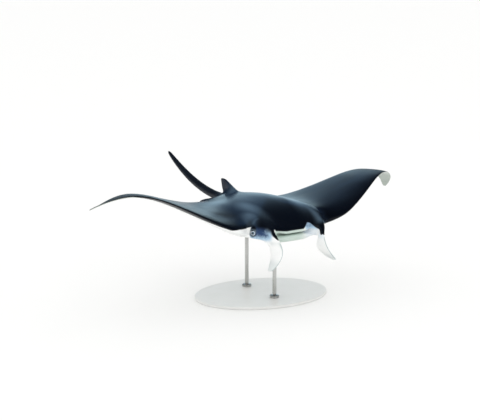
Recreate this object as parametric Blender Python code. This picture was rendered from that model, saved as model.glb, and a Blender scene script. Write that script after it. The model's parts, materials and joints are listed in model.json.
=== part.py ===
"""Reef manta ray, life-size, as a still display model on a plain two-rod stand.

The animal faces -Y, its left side is +X and +Z is up. It is modelled flat, as a lofted cage of
sections that run from the front edge of the disc to the back edge, with the cephalic fins, pelvic
fins, dorsal fin and tail grown out of that cage. The flat cage is then bent into the swimming
pose, subdivided once, and parted into its named pieces along the cage's own edge loops.
"""

import math

import bmesh
import bpy
import numpy as np
from mathutils import Matrix, Vector

# ---------------------------------------------------------------- driving dimensions
DISC_WIDTH = 3.5  # wing tip to wing tip, laid out flat, in metres
BODY_HEIGHT = 0.80  # mid plane of the body above the floor, in metres
BODY_SHIFT = -0.10  # places the centre of mass over the stand, along Y, in metres
PART_GAP = 0.00025  # each piece steps back this far from a cut, in metres
CAGE_SUBDIVISIONS = 1

# Everything of the animal below is in disc widths, in the flat layout: X outwards, Y backwards.
MOUTH_Y = -0.143  # the lips, at the middle
MOUTH_CORNER_X = 0.058
WING_ROOT_X = 0.13  # where the front edge of the wing takes over from the head
WING_ROOT_Y = -0.141
WING_TIP = (0.530, 0.103)
TIP_ROUND_FROM, TIP_ROUND_TO, TIP_ROUND_END = 0.40, 0.475, 0.5290  # a paddle-shaped wing tip
TIP_ROUND_BY = 0.0130
FRONT_EDGE_POWER = 1.55  # how late the front edge sweeps back
BACK_EDGE_POWER = 1.62  # how hollow the back edge is
BACK_EDGE_Y = 0.258  # the back edge beside the tail
TAIL_RING_Y = 0.245  # where the tail leaves the body

# Swimming pose: the wings lift from the body, curl down along the outer third, and hook at the tip.
WING_LIFT = {1: math.radians(21.3), -1: math.radians(22.1)}
LIFT_SPAN = (0.074, 0.22)
WING_CURL = {1: math.radians(51), -1: math.radians(45)}
CURL_SPAN = (0.342, 0.484)
TIP_HOOK = {1: math.radians(48), -1: math.radians(0)}  # the left tip is rolled under further
HOOK_SPAN = (0.470, 0.516)
# How far each wing tip is swept back in the pose.
WING_SWEEP = {1: 0.0, -1: -0.046}
SWEEP_SPAN = (0.22, 0.52)
# Twist along the wing, as (distance from the middle, degrees): below 0 it lowers the back edge.
WING_TWIST = {
    1: ((0.0, 0.0), (0.10, -1.4), (0.20, -3.4), (0.37, -3.4), (0.54, -3.4)),
    -1: ((0.0, 0.0), (0.10, 0.6), (0.18, 1.8), (0.30, -0.6), (0.42, -7.0), (0.54, -25.0)),
}
SPAN_END = 0.54
SPAN_SAMPLES = 541

# Heights over the mid plane along the middle of the animal, as (y, z).
BACK_LINE = (
    (-0.150, -0.020), (-0.130, -0.001), (-0.105, 0.016), (-0.050, 0.0400),
    (0.020, 0.0570), (0.090, 0.0555), (0.147, 0.0405), (0.222, 0.0250), (0.250, 0.0240),
)
BELLY_LINE = (
    (-0.150, -0.049), (-0.120, -0.0545), (-0.060, -0.0575), (0.010, -0.0585),
    (0.080, -0.0530), (0.150, -0.0350), (0.222, -0.0060), (0.250, -0.0005),
)
# How far the rounded back and belly reach sideways before the wing takes over, as (y, x).
DOME_HALF_WIDTH = ((-0.150, 0.094), (-0.050, 0.100), (0.050, 0.095), (0.150, 0.062), (0.250, 0.030))
# Half thickness of the wing at its thickest, as (distance from the middle, half thickness).
WING_HALF_THICKNESS = (
    (0.00, 0.0210), (0.10, 0.0225), (0.15, 0.0185), (0.22, 0.0120),
    (0.32, 0.0070), (0.42, 0.0038), (0.50, 0.0016),
)
# The front edge sits low at the mouth and rises outwards; the back edge sits high at the tail.
FRONT_EDGE_Z = (
    (0.0, -0.0265), (0.085, -0.0270), (0.118, -0.0262), (0.128, -0.0190), (0.15, -0.0130), (0.20, -0.0085),
    (0.30, -0.0035), (0.42, 0.0), (0.53, 0.0),
)
BACK_EDGE_Z = (
    (0.0, 0.0110), (0.05, 0.0060), (0.12, 0.0105), (0.20, 0.0085), (0.30, 0.0035), (0.42, 0.0), (0.53, 0.0),
)
# A section turns from the body's shape into the wing's over this span of its front end's X.
BODY_TO_WING = (0.085, 0.20)
FRONT_EDGE_SHAPES_WING = (0.095, 0.16)  # where the front edge's height starts to lift the wing
DOME_POWER = 2.4  # how square the rounded back and belly are across
BODY_NOSE, WING_NOSE = 0.06, 0.30  # depth of the round front of a section, as a share of it
TAPER_FROM = 0.3  # behind this share the wing thins towards its back edge
TAPER_POWERS = (2.0, 0.85)

# Rows of points from the front edge (0) to the back edge (1) of a section.
BODY_ROWS = (0.0, 0.011, 0.028, 0.057, 0.110, 0.285, 0.516, 0.750, 0.944, 1.0)
WING_ROWS = (0.0, 0.008, 0.032, 0.085, 0.180, 0.315, 0.480, 0.665, 0.860, 1.0)
LAST_ROW = len(BODY_ROWS) - 1
# The mouth's section, row by row, as (distance behind the lips, height): a slot between two lips.
MOUTH_SECTION = {
    0: (0.045, -0.0262), 1: (0.020, -0.0245), 2: (0.0010, -0.0240), 3: (-0.0010, -0.0165),
    4: (0.012, -0.0035), -1: (0.020, -0.0280), -2: (0.0025, -0.0270), -3: (0.0000, -0.0385),
    -4: (0.012, -0.0515),
}
MOUTH_FADE = (0.048, 0.062)

# Stations across the flat disc, from the middle to the left tip: front and back end of each.
HEAD_FRONT = (
    (0.0, MOUTH_Y), (0.022, MOUTH_Y - 0.0008), (0.042, MOUTH_Y - 0.0015),
    (MOUTH_CORNER_X + 0.003, MOUTH_Y - 0.001), (0.0785, -0.1405), (0.0945, -0.1335),
    (0.1067, -0.1182), (0.1147, -0.0942), (0.1240, -0.0925), (0.146, -0.1190),
)
HEAD_BACK_X = (0.0, 0.013, 0.026, 0.040, 0.055, 0.069, 0.083, 0.097, 0.112, 0.140)
WING_STATIONS = (0.178, 0.240, 0.305, 0.370, 0.425, 0.468, 0.499, 0.5160, 0.5265)
TAIL_STATION, EYE_STATION, NOTCH_STATION = 1, 6, 8
CEPHALIC_STATIONS, PELVIC_STATIONS = (3, 5), (2, 4)  # each fin's root, from and to
TRUNK_STATION = 9  # the body ends and the wing begins here
INNER_WING_STATION, OUTER_WING_STATION = 11, 13
HEAD_ROW = 5  # the head ends and the trunk begins here
CEPHALIC_ROW = 2  # a cephalic fin's root reaches this row on the back and on the belly

# Cephalic fin, as rings from its root: front edge (x, y, z), back edge (x, y, z) and half
# thickness. The fin hangs from the head's corner, first turning in and then splaying out.
CEPHALIC_RINGS = (
    ((0.0800, -0.1520, -0.0060), (0.0840, -0.1390, -0.0450), 0.0095),
    ((0.0710, -0.1650, -0.0270), (0.0760, -0.1320, -0.0570), 0.0065),
    ((0.0650, -0.1805, -0.0515), (0.0705, -0.1320, -0.0710), 0.0046),
    ((0.0720, -0.1870, -0.0720), (0.0780, -0.1380, -0.0850), 0.0036),
    ((0.0855, -0.1865, -0.0895), (0.0900, -0.1520, -0.0990), 0.0030),
    ((0.0975, -0.1830, -0.1040), (0.0995, -0.1650, -0.1080), 0.0024),
)
LAST_RING = len(CEPHALIC_RINGS) - 1
CEPHALIC_THINNING = 0.8  # how much thinner the fin's edges are than its middle
# Pelvic fin rings: centre (x, y, z), half width and half thickness.
PELVIC_RINGS = (
    ((0.0400, 0.2640, 0.0045), 0.0160, 0.0056),
    ((0.0415, 0.2740, 0.0005), 0.0150, 0.0042),
    ((0.0430, 0.2825, -0.0030), 0.0095, 0.0026),
)
PELVIC_SWEEP, PELVIC_THINNING = 0.3, 0.6  # of its edges, against its middle
# Dorsal fin rings: front end (y, z), back end (y, z), half thickness.
DORSAL_RINGS = (
    ((0.148, 0.0470), (0.2425, 0.0335), 0.0056),
    ((0.166, 0.0525), (0.2460, 0.0425), 0.0042),
    ((0.188, 0.0600), (0.2475, 0.0550), 0.0032),
    ((0.206, 0.0660), (0.2480, 0.0640), 0.0024),
    ((0.218, 0.0700), (0.2480, 0.0690), 0.0016),
)
DORSAL_CORNER = 0.22  # how far the ring's corners are pulled in, so that its ends are round
# Tail: it leaves the body level and sweeps up towards its end.
TAIL_LENGTH = 0.314
TAIL_RISE = 0.0935
TAIL_POWER = 1.95
TAIL_ROOT_Z = 0.0125
TAIL_RADIUS = (0.0134, 0.0056)
TAIL_TAPER_POWER = 2.8
TAIL_END_SHARE = 0.62  # the last ring's share of its radius, which rounds the tip
RING_CORNER = 1.06 * math.sqrt(0.5)  # a grid's corners pulled in to make its ring round
TAIL_STEPS = (0.07, 0.18, 0.31, 0.45, 0.59, 0.73, 0.86, 0.96, 1.0)
TAIL_CUTS = (1, 3, 5)  # the tail is parted after these steps, the first of which is the trunk's
TAIL_REGIONS = ("trunk", "tail_root", "tail_middle", "tail_end")

# Eyes, in metres.
EYE_RADIUS = 0.024
EYE_INSET = 0.0105  # how far the eyeball's middle lies inside the head's side
EYE_SEGMENTS = (12, 8)
SOCKET_STEPS = ((0.96, 0.0), (0.94, 0.020), (0.92, 0.056))  # (share of the opening, depth)

# Stand, in metres.
BASE_HALF_SIZE = (0.68, 0.53)
BASE_THICKNESS = 0.024
BASE_CHAMFER = 0.005
BASE_SEGMENTS = 36
ROD_RADIUS = 0.019
ROD_SEGMENTS = 18
ROD_Y = (-0.235, 0.265)
COLLAR_RADIUS = 0.045
COLLAR_HEIGHT = 0.022
COLLAR_CHAMFER = 0.006
FIT_GAP = 0.0004  # between the pieces of the stand, and between rod and belly

REGIONS = (
    "trunk", "head",
    "wing_left_inner", "wing_left_outer", "wing_left_tip",
    "wing_right_inner", "wing_right_outer", "wing_right_tip",
    "cephalic_fin_left", "cephalic_fin_right", "pelvic_fin_left", "pelvic_fin_right",
    "dorsal_fin", "tail_root", "tail_middle", "tail_end",
)


# ---------------------------------------------------------------- small helpers
def smooth(span, x):
    """0 before the span and 1 after it, with an even rise between."""
    t = min(max((x - span[0]) / (span[1] - span[0]), 0.0), 1.0)
    return t * t * (3 - 2 * t)


def mix(a, b, share):
    return a + (b - a) * share


def through(points):
    """A smooth curve through the points, as a function."""
    xs, ys = np.array(points).T
    slopes = np.gradient(ys, xs)

    def value(x):
        i = int(np.clip(np.searchsorted(xs, x) - 1, 0, len(xs) - 2))
        width = xs[i + 1] - xs[i]
        t = min(max((x - xs[i]) / width, 0.0), 1.0)
        rise = (2 * t**3 - 3 * t**2 + 1) * ys[i] + (3 * t**2 - 2 * t**3) * ys[i + 1]
        return rise + width * ((t**3 - 2 * t**2 + t) * slopes[i] + (t**3 - t**2) * slopes[i + 1])

    return value


back_line = through(BACK_LINE)
belly_line = through(BELLY_LINE)
dome_half_width = through(DOME_HALF_WIDTH)
wing_half_thickness = through(WING_HALF_THICKNESS)
front_edge_z = through(FRONT_EDGE_Z)
back_edge_z = through(BACK_EDGE_Z)
wing_twist = {side: through(points) for side, points in WING_TWIST.items()}


# ---------------------------------------------------------------- flat disc
def tip_rounding(x):
    """How much wider the wing is here, each way, than its two edges running to a point."""
    beyond = max(x - TIP_ROUND_TO, 0.0) / (TIP_ROUND_END - TIP_ROUND_TO)
    return TIP_ROUND_BY * smooth((TIP_ROUND_FROM, TIP_ROUND_TO), x) * math.sqrt(1 - beyond**2)


def front_edge(x):
    share = (x - WING_ROOT_X) / (WING_TIP[0] - WING_ROOT_X)
    straight = WING_ROOT_Y + (WING_TIP[1] - WING_ROOT_Y) * share**FRONT_EDGE_POWER
    return straight - tip_rounding(x)


def back_edge(x):
    share = min(max((x - HEAD_BACK_X[2]) / (WING_TIP[0] - HEAD_BACK_X[2]), 0.0), 1.0)
    straight = WING_TIP[1] + (BACK_EDGE_Y - WING_TIP[1]) * (1 - share) ** BACK_EDGE_POWER
    return straight + tip_rounding(x)


def stations():
    """(front point, back point) of each section, from the middle to the tip."""
    found = []
    for (x, y), back_x in zip(HEAD_FRONT, HEAD_BACK_X):
        back_y = TAIL_RING_Y if back_x <= HEAD_BACK_X[TAIL_STATION] else back_edge(back_x)
        found.append(((x, y), (back_x, back_y)))
    for x in WING_STATIONS:
        found.append(((x, front_edge(x)), (x, back_edge(x))))
    return found


STATIONS = stations()


def nose_shape(share, nose):
    """Share of its full height that a section has: it rises round over the nose's depth."""
    if share < nose:
        return math.sqrt(1 - (1 - share / nose) ** 2)
    return 1.0


def taper(share):
    """Share of its thickness that the wing keeps, from the front edge (0) to the back edge (1)."""
    behind = min(max((share - TAPER_FROM) / (1 - TAPER_FROM), 0.0), 1.0)
    return (1 - behind ** TAPER_POWERS[0]) ** TAPER_POWERS[1]


def flat_point(station, row):
    """A cage point in the flat layout. Rows above 0 lie on the back, below 0 on the belly."""
    (front_x, front_y), (back_x, back_y) = STATIONS[station]
    on_wing = smooth(BODY_TO_WING, front_x)
    share = mix(BODY_ROWS[abs(row)], WING_ROWS[abs(row)], on_wing)
    x, y = mix(front_x, back_x, share), mix(front_y, back_y, share)
    side = 1 if row > 0 else -1
    middle = (back_line if side > 0 else belly_line)(y)
    dome = math.exp(-((x / dome_half_width(y)) ** DOME_POWER))
    edge, back = front_edge_z(front_x), back_edge_z(back_x)
    camber = mix(edge * smooth(FRONT_EDGE_SHAPES_WING, front_x), back, share)
    wing = camber + side * wing_half_thickness(x) * taper(share)
    height = mix(wing, middle, dome)
    z = edge + (height - edge) * nose_shape(share, mix(BODY_NOSE, WING_NOSE, on_wing))
    if abs(row) == LAST_ROW:
        z = back
    in_mouth = 1 - smooth(MOUTH_FADE, front_x)
    if row in MOUTH_SECTION and in_mouth > 0:
        behind, height = MOUTH_SECTION[row]
        y = mix(y, front_y + behind, in_mouth)
        z = mix(z, height, in_mouth)
    return Vector((x, y, z))


# ---------------------------------------------------------------- pose
def span_curves(side):
    """The wing's slope, and where its mid line goes, at even steps along the span."""
    along = np.linspace(0, SPAN_END, SPAN_SAMPLES)
    slope = np.array([
        WING_LIFT[side] * smooth(LIFT_SPAN, s)
        - WING_CURL[side] * smooth(CURL_SPAN, s)
        - TIP_HOOK[side] * smooth(HOOK_SPAN, s)
        for s in along
    ])
    step = along[1]
    middle = (slope[1:] + slope[:-1]) / 2
    out = np.concatenate([[0], np.cumsum(np.cos(middle)) * step])
    rise = np.concatenate([[0], np.cumsum(np.sin(middle)) * step])
    return along, slope, out, rise


SPAN_CURVES = {side: span_curves(side) for side in (1, -1)}


def posed(point, side):
    """A point of the flat half layout, bent into the pose on that side, in metres."""
    along, slope, out, rise = SPAN_CURVES[side]
    x, y, z = point
    angle, out_x, up = (np.interp(x, along, curve) for curve in (slope, out, rise))
    twist = math.radians(wing_twist[side](x))
    hinge_y = WING_TIP[1] * x / WING_TIP[0]
    off = y - hinge_y
    y = hinge_y + off * math.cos(twist) - z * math.sin(twist)
    normal = off * math.sin(twist) + z * math.cos(twist)
    y += WING_SWEEP[side] * smooth(SWEEP_SPAN, x)
    placed = Vector((side * (out_x - math.sin(angle) * normal), y, up + math.cos(angle) * normal))
    return placed * DISC_WIDTH + Vector((0, BODY_SHIFT, BODY_HEIGHT))


# ---------------------------------------------------------------- cage
class Cage:
    """The low-resolution body: posed points and quads, each quad marked with its region."""

    def __init__(self):
        self.mesh = bmesh.new()
        self.points = {}

    def point(self, side, station, row):
        if abs(row) == LAST_ROW:
            row = LAST_ROW
        key = (1 if station == 0 else side, station, row)
        if key not in self.points:
            self.points[key] = self.mesh.verts.new(posed(flat_point(station, row), key[0]))
        return self.points[key]

    def face(self, corners, region):
        face = self.mesh.faces.new(corners)
        face.material_index = REGIONS.index(region)
        return face

    def grow(self, block, rings, regions):
        """Extends a block of the surface outwards. block is a grid of points whose faces are left
        out, rings holds the same grid's places at each step, and regions names each step."""
        rim = rim_of(block)
        for places, region in zip(rings, regions):
            last = places is rings[-1]
            grown = [[None] * len(block[0]) for _ in block]
            for i, line in enumerate(places):
                for j, place in enumerate(line):
                    if last or i in (0, len(places) - 1) or j in (0, len(line) - 1):
                        grown[i][j] = self.mesh.verts.new(place)
            new_rim = rim_of(grown)
            for n in range(len(rim)):
                m = (n + 1) % len(rim)
                self.face((rim[n], rim[m], new_rim[m], new_rim[n]), region)
            rim = new_rim
        for i in range(len(grown) - 1):
            for j in range(len(grown[0]) - 1):
                corners = grown[i][j], grown[i][j + 1], grown[i + 1][j + 1], grown[i + 1][j]
                self.face(corners, regions[-1])


def rim_of(grid):
    """The points round the outside of a grid, in order."""
    top, bottom = grid[0], grid[-1][::-1]
    right = [line[-1] for line in grid[1:-1]]
    left = [line[0] for line in grid[1:-1]][::-1]
    return [*top, *right, *bottom, *left]


def region_of(side, station, row):
    """The piece that owns the quad between this station and row and the next ones."""
    name = "left" if side > 0 else "right"
    if station >= OUTER_WING_STATION:
        return f"wing_{name}_tip"
    if station >= INNER_WING_STATION:
        return f"wing_{name}_outer"
    if station >= TRUNK_STATION:
        return f"wing_{name}_inner"
    if station < NOTCH_STATION and -HEAD_ROW <= row < HEAD_ROW:
        return "head"
    return "trunk"


def left_out(station, row):
    """True where a fin or the tail grows out of the disc, so that the disc has no quad there."""
    tail = station < TAIL_STATION and row in (LAST_ROW - 1, -LAST_ROW)
    dorsal = station < TAIL_STATION and row == LAST_ROW - 2
    pelvic = station in range(*PELVIC_STATIONS) and row in (LAST_ROW - 1, -LAST_ROW)
    cephalic = station in range(*CEPHALIC_STATIONS) and row in range(-CEPHALIC_ROW, CEPHALIC_ROW)
    return tail or dorsal or pelvic or cephalic


def build_disc(cage):
    for side in (1, -1):
        for station in range(len(STATIONS) - 1):
            for row in range(-LAST_ROW, LAST_ROW):
                if left_out(station, row):
                    continue
                corners = [
                    cage.point(side, station + across, row + along)
                    for across, along in ((0, 0), (0, 1), (1, 1), (1, 0))
                ]
                if (station, row) == (EYE_STATION, 0):
                    build_socket(cage, corners)
                else:
                    cage.face(corners, region_of(side, station, row))
        close_tip(cage, side)


def close_tip(cage, side):
    """Faces between the back and belly points of the last section."""
    last = len(STATIONS) - 1
    name = region_of(side, last, 0)
    for row in range(LAST_ROW):
        corners = [cage.point(side, last, k) for k in (row, row + 1, -row - 1, -row)]
        cage.face(list(dict.fromkeys(corners)), name)


def build_socket(cage, corners):
    """A round pit for the eye in place of one quad of the head's side."""
    middle = sum((c.co for c in corners), Vector()) / 4
    inwards = Vector((-middle.x, 0, 0)).normalized()
    rim = corners
    for share, depth in SOCKET_STEPS:
        ring = [
            cage.mesh.verts.new(middle + (c.co - middle) * share + inwards * depth)
            for c in corners
        ]
        for n in range(4):
            m = (n + 1) % 4
            cage.face((rim[n], rim[m], ring[m], ring[n]), "head")
        rim = ring
    cage.face(rim, "head")


def build_cephalic_fin(cage, side):
    rows = range(CEPHALIC_ROW, -CEPHALIC_ROW - 1, -1)
    columns = range(CEPHALIC_STATIONS[0], CEPHALIC_STATIONS[1] + 1)
    block = [[cage.point(side, station, row) for station in columns] for row in rows]
    rings = []
    for step, (front, back, half_thickness) in enumerate(CEPHALIC_RINGS):
        front, back = Vector(front), Vector(back)
        before, after = (CEPHALIC_RINGS[n][0] for n in (max(step - 1, 0), min(step + 1, LAST_RING)))
        outwards = (front - back).cross(Vector(after) - Vector(before)).normalized()
        ring = []
        for row in rows:
            across = row / CEPHALIC_ROW
            depth = half_thickness * math.sqrt(1 - CEPHALIC_THINNING * across**2)
            middle = back.lerp(front, (1 + across) / 2)
            ring.append([posed(middle + outwards * depth * n, side) for n in (-1, 0, 1)])
        rings.append(ring)
    cage.grow(block, rings, [f"cephalic_fin_{'left' if side > 0 else 'right'}"] * len(rings))


def build_pelvic_fin(cage, side):
    rows = (LAST_ROW - 1, LAST_ROW, -LAST_ROW + 1)
    columns = range(PELVIC_STATIONS[0], PELVIC_STATIONS[1] + 1)
    block = [[cage.point(side, station, row) for station in columns] for row in rows]
    rings = []
    for (x, y, z), half_width, half_thickness in PELVIC_RINGS:
        rings.append([
            [
                posed((x + n * half_width, y - PELVIC_SWEEP * half_width * n * n,
                       z + up * half_thickness * (1 - PELVIC_THINNING * n * n)), side)
                for n in (-1, 0, 1)
            ]
            for up in (1, 0, -1)
        ])
    cage.grow(block, rings, [f"pelvic_fin_{'left' if side > 0 else 'right'}"] * len(rings))


def build_dorsal_fin(cage):
    block = [
        [cage.point(-1, 1, row), cage.point(1, 0, row), cage.point(1, 1, row)]
        for row in (LAST_ROW - 2, LAST_ROW - 1)
    ]
    rings = []
    for front, back, half_thickness in DORSAL_RINGS:
        rings.append([
            [
                mirrored((
                    n * half_thickness,
                    mix(near[0], far[0], DORSAL_CORNER * abs(n)),
                    mix(near[1], far[1], DORSAL_CORNER * abs(n)),
                ))
                for n in (-1, 0, 1)
            ]
            for near, far in ((front, back), (back, front))
        ])
    cage.grow(block, rings, ["dorsal_fin"] * len(rings))


def mirrored(point):
    """A point given across the middle, so that its X may have either sign, in metres."""
    side = 1 if point[0] >= 0 else -1
    return posed((abs(point[0]), point[1], point[2]), side)


def tail_place(share):
    """(centre, direction) of the tail in the flat layout, from its root (0) to its end (1)."""
    rise = TAIL_RISE * share**TAIL_POWER
    slope = TAIL_RISE * TAIL_POWER * share ** (TAIL_POWER - 1)
    along = Vector((0, TAIL_LENGTH, slope)).normalized()
    return Vector((0, TAIL_RING_Y + TAIL_LENGTH * share, TAIL_ROOT_Z + rise)), along


def build_tail(cage):
    rows = (LAST_ROW - 1, LAST_ROW, -LAST_ROW + 1)
    block = [[cage.point(-1, 1, row), cage.point(1, 0, row), cage.point(1, 1, row)] for row in rows]
    rings, regions = [], []
    for step, share in enumerate(TAIL_STEPS):
        centre, along = tail_place(share)
        radius = mix(*TAIL_RADIUS, share**TAIL_TAPER_POWER)
        if share == TAIL_STEPS[-1]:
            radius *= TAIL_END_SHARE
        across, up = Vector((radius, 0, 0)), Vector((1, 0, 0)).cross(along).normalized() * radius
        rings.append([
            [
                mirrored(centre + (across * n + up * m) * (RING_CORNER if n and m else 1))
                for n in (-1, 0, 1)
            ]
            for m in (1, 0, -1)
        ])
        regions.append(TAIL_REGIONS[sum(step >= cut for cut in TAIL_CUTS)])
    cage.grow(block, rings, regions)


def whole_body():
    """The subdivided body as one closed mesh, with each face's region in its material index."""
    cage = Cage()
    build_disc(cage)
    for side in (1, -1):
        build_cephalic_fin(cage, side)
        build_pelvic_fin(cage, side)
    build_dorsal_fin(cage)
    build_tail(cage)
    bmesh.ops.recalc_face_normals(cage.mesh, faces=cage.mesh.faces)
    mesh = bpy.data.meshes.new("body_cage")
    cage.mesh.to_mesh(mesh)
    cage.mesh.free()
    body = bpy.data.objects.new("body_cage", mesh)
    bpy.context.scene.collection.objects.link(body)
    rounding = body.modifiers.new("rounding", "SUBSURF")
    rounding.levels = rounding.render_levels = CAGE_SUBDIVISIONS
    graph = bpy.context.evaluated_depsgraph_get()
    rounded = bpy.data.meshes.new_from_object(body.evaluated_get(graph))
    bpy.data.objects.remove(body)
    return rounded


# ---------------------------------------------------------------- parting the body
ORDER_DIRECTION = (0.53, 0.27, 1.0)  # settles which of two matching points of a cut comes first


def open_loops(mesh):
    """Each open edge loop of the mesh, as its points in order."""
    edges = {edge for edge in mesh.edges if edge.is_boundary}
    loops = []
    while edges:
        edge = edges.pop()
        loop = [edge.verts[0], edge.verts[1]]
        while loop[-1] is not loop[0]:
            edge = next(e for e in loop[-1].link_edges if e in edges)
            edges.remove(edge)
            loop.append(edge.other_vert(loop[-1]))
        loops.append(loop[:-1])
    return loops


def cap(mesh, loop, shared_place):
    """Closes a loop with a strip of triangles between its two sides, from the end that gives the
    shortest steps across. Both pieces at a cut get the same strip, as it is chosen by the places
    that they share before they step back."""
    places = np.array([v[shared_place] for v in loop])
    count = len(loop)
    order = places @ ORDER_DIRECTION

    def steps_across(start):
        n = np.arange(1, count // 2)
        return np.linalg.norm(places[(start + n) % count] - places[start - n], axis=1).sum()

    start = min(range(count // 2), key=steps_across)
    if order[start + count // 2] < order[start]:
        start += count // 2
    loop = loop[start:] + loop[:start]
    if order[(start + 1) % count] < order[start - 1]:
        loop = [loop[0]] + loop[:0:-1]
    for n in range(count // 2):
        a, b = loop[n], loop[n + 1]
        c, d = loop[-n - 1], loop[-n]
        if n == 0:
            mesh.faces.new((a, b, c))
        elif n == count // 2 - 1:
            mesh.faces.new((a, b, d))
        else:
            mesh.faces.new((a, b, d))
            mesh.faces.new((b, c, d))


def middle_of(faces):
    return sum((face.calc_center_median() for face in faces), Vector()) / len(faces)


def step_back(piece, index):
    """Moves a cut's points away from the other piece, so that two pieces meet with a thin gap.
    A point goes half its own way and half the way of the whole cut, which keeps a cut even."""
    ways, whole_cut = [], {}
    for point in piece.verts:
        own = [face for face in point.link_faces if face.material_index == index]
        others = [face for face in point.link_faces if face.material_index != index]
        if own and others:
            way = (middle_of(own) - middle_of(others)).normalized()
            across = frozenset(face.material_index for face in others)
            ways.append((point, way, across))
            whole_cut[across] = whole_cut.get(across, Vector()) + way
    for point, way, across in ways:
        point.co += (way + whole_cut[across].normalized()).normalized() * PART_GAP


def part_body(rounded):
    """One object for each region of the body, closed where it was cut."""
    for index, name in enumerate(REGIONS):
        piece = bmesh.new()
        piece.from_mesh(rounded)
        shared_place = piece.verts.layers.float_vector.new("shared_place")
        for point in piece.verts:
            point[shared_place] = point.co
        step_back(piece, index)
        others = [face for face in piece.faces if face.material_index != index]
        bmesh.ops.delete(piece, geom=others, context="FACES")
        for loop in open_loops(piece):
            cap(piece, loop, shared_place)
        piece.verts.layers.float_vector.remove(shared_place)
        for face in piece.faces:
            face.material_index = 0
        bmesh.ops.recalc_face_normals(piece, faces=piece.faces)
        mesh = bpy.data.meshes.new(name)
        piece.to_mesh(mesh)
        piece.free()
        mesh.shade_smooth()
        place(name, mesh, SKIN)


# ---------------------------------------------------------------- eyes and stand
def eye_centre(side):
    """Middle of the eyeball: it stands a little proud of the head's side."""
    corners = [
        posed(flat_point(EYE_STATION + across, row), side) for across in (0, 1) for row in (0, 1)
    ]
    middle = sum(corners, Vector()) / 4
    return middle - Vector((side * EYE_INSET, 0, 0))


def build_eye(side):
    eye = bmesh.new()
    turn = Matrix.Rotation(side * math.pi / 2, 4, "Y")
    across, rings = EYE_SEGMENTS
    bmesh.ops.create_uvsphere(eye, u_segments=across, v_segments=rings, radius=EYE_RADIUS)
    bmesh.ops.transform(eye, matrix=turn, verts=eye.verts)
    centre = eye_centre(side)
    bmesh.ops.translate(eye, vec=centre, verts=eye.verts)
    mesh = bpy.data.meshes.new("eye")
    eye.to_mesh(mesh)
    eye.free()
    mesh.shade_smooth()
    place(f"eye_{'left' if side > 0 else 'right'}", mesh, EYE)


def build_base():
    """An oval plate with a small chamfer round its top edge."""
    base = bmesh.new()
    bmesh.ops.create_cone(
        base, cap_ends=True, segments=BASE_SEGMENTS, radius1=1, radius2=1, depth=BASE_THICKNESS
    )
    bmesh.ops.translate(base, vec=(0, 0, BASE_THICKNESS / 2), verts=base.verts)
    bmesh.ops.scale(base, vec=(*BASE_HALF_SIZE, 1), verts=base.verts)
    mesh = bpy.data.meshes.new("stand_base")
    base.to_mesh(mesh)
    base.free()
    stand = place("stand_base", mesh, POWDER_COAT)
    edge = stand.modifiers.new("chamfer", "BEVEL")
    edge.width = BASE_CHAMFER
    edge.segments = 1
    edge.limit_method = "ANGLE"


def build_rod(name, y, belly):
    """A round rod from the base up to the belly, its top cut to the belly's shape."""
    low = BASE_THICKNESS + FIT_GAP
    high = BODY_HEIGHT  # inside the body, which then cuts it to the belly
    rod = bmesh.new()
    bmesh.ops.create_cone(
        rod, cap_ends=True, segments=ROD_SEGMENTS, radius1=ROD_RADIUS, radius2=ROD_RADIUS,
        depth=high - low,
    )
    bmesh.ops.translate(rod, vec=(0, y, (low + high) / 2), verts=rod.verts)
    mesh = bpy.data.meshes.new(name)
    rod.to_mesh(mesh)
    rod.free()
    stand = place(name, mesh, STEEL)
    fit = stand.modifiers.new("fit_to_belly", "BOOLEAN")
    fit.operation = "DIFFERENCE"
    fit.object = belly


def build_collar(name, y):
    """A ring that clamps the rod to the base."""
    collar = bmesh.new()
    low, high = BASE_THICKNESS + FIT_GAP, BASE_THICKNESS + FIT_GAP + COLLAR_HEIGHT
    inner = ROD_RADIUS + FIT_GAP
    profile = ((inner, low), (COLLAR_RADIUS, low), (COLLAR_RADIUS, high - COLLAR_CHAMFER),
               (COLLAR_RADIUS - COLLAR_CHAMFER, high), (inner, high))
    points = [collar.verts.new((radius, 0, z)) for radius, z in profile]
    edges = [collar.edges.new((points[n], points[(n + 1) % len(points)])) for n in range(len(points))]
    bmesh.ops.spin(
        collar, geom=points + edges, cent=(0, 0, 0), axis=(0, 0, 1), angle=2 * math.pi,
        steps=ROD_SEGMENTS, use_merge=True,
    )
    bmesh.ops.recalc_face_normals(collar, faces=collar.faces)
    bmesh.ops.translate(collar, vec=(0, y, 0), verts=collar.verts)
    mesh = bpy.data.meshes.new(name)
    collar.to_mesh(mesh)
    collar.free()
    place(name, mesh, STEEL)


def belly_cutter(rounded):
    """The whole body, set down by the fit gap, to cut the rods with."""
    cutter = bpy.data.objects.new("belly_cutter", rounded)
    bpy.context.scene.collection.objects.link(cutter)
    cutter.location.z = -FIT_GAP
    cutter.hide_render = True
    cutter.display_type = "WIRE"
    return cutter


# ---------------------------------------------------------------- materials and scene
def material(name, colour, roughness, metallic=0.0):
    made = bpy.data.materials.new(name)
    made.use_nodes = True
    shader = made.node_tree.nodes["Principled BSDF"]
    shader.inputs["Base Color"].default_value = (*colour, 1)
    shader.inputs["Roughness"].default_value = roughness
    shader.inputs["Metallic"].default_value = metallic
    made.diffuse_color = (*colour, 1)
    return made


def place(name, mesh, finish):
    placed = bpy.data.objects.new(name, mesh)
    bpy.context.scene.collection.objects.link(placed)
    placed.data.materials.clear()
    placed.data.materials.append(finish)
    return placed


def clear_scene():
    for old in list(bpy.data.objects):
        bpy.data.objects.remove(old, do_unlink=True)


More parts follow.
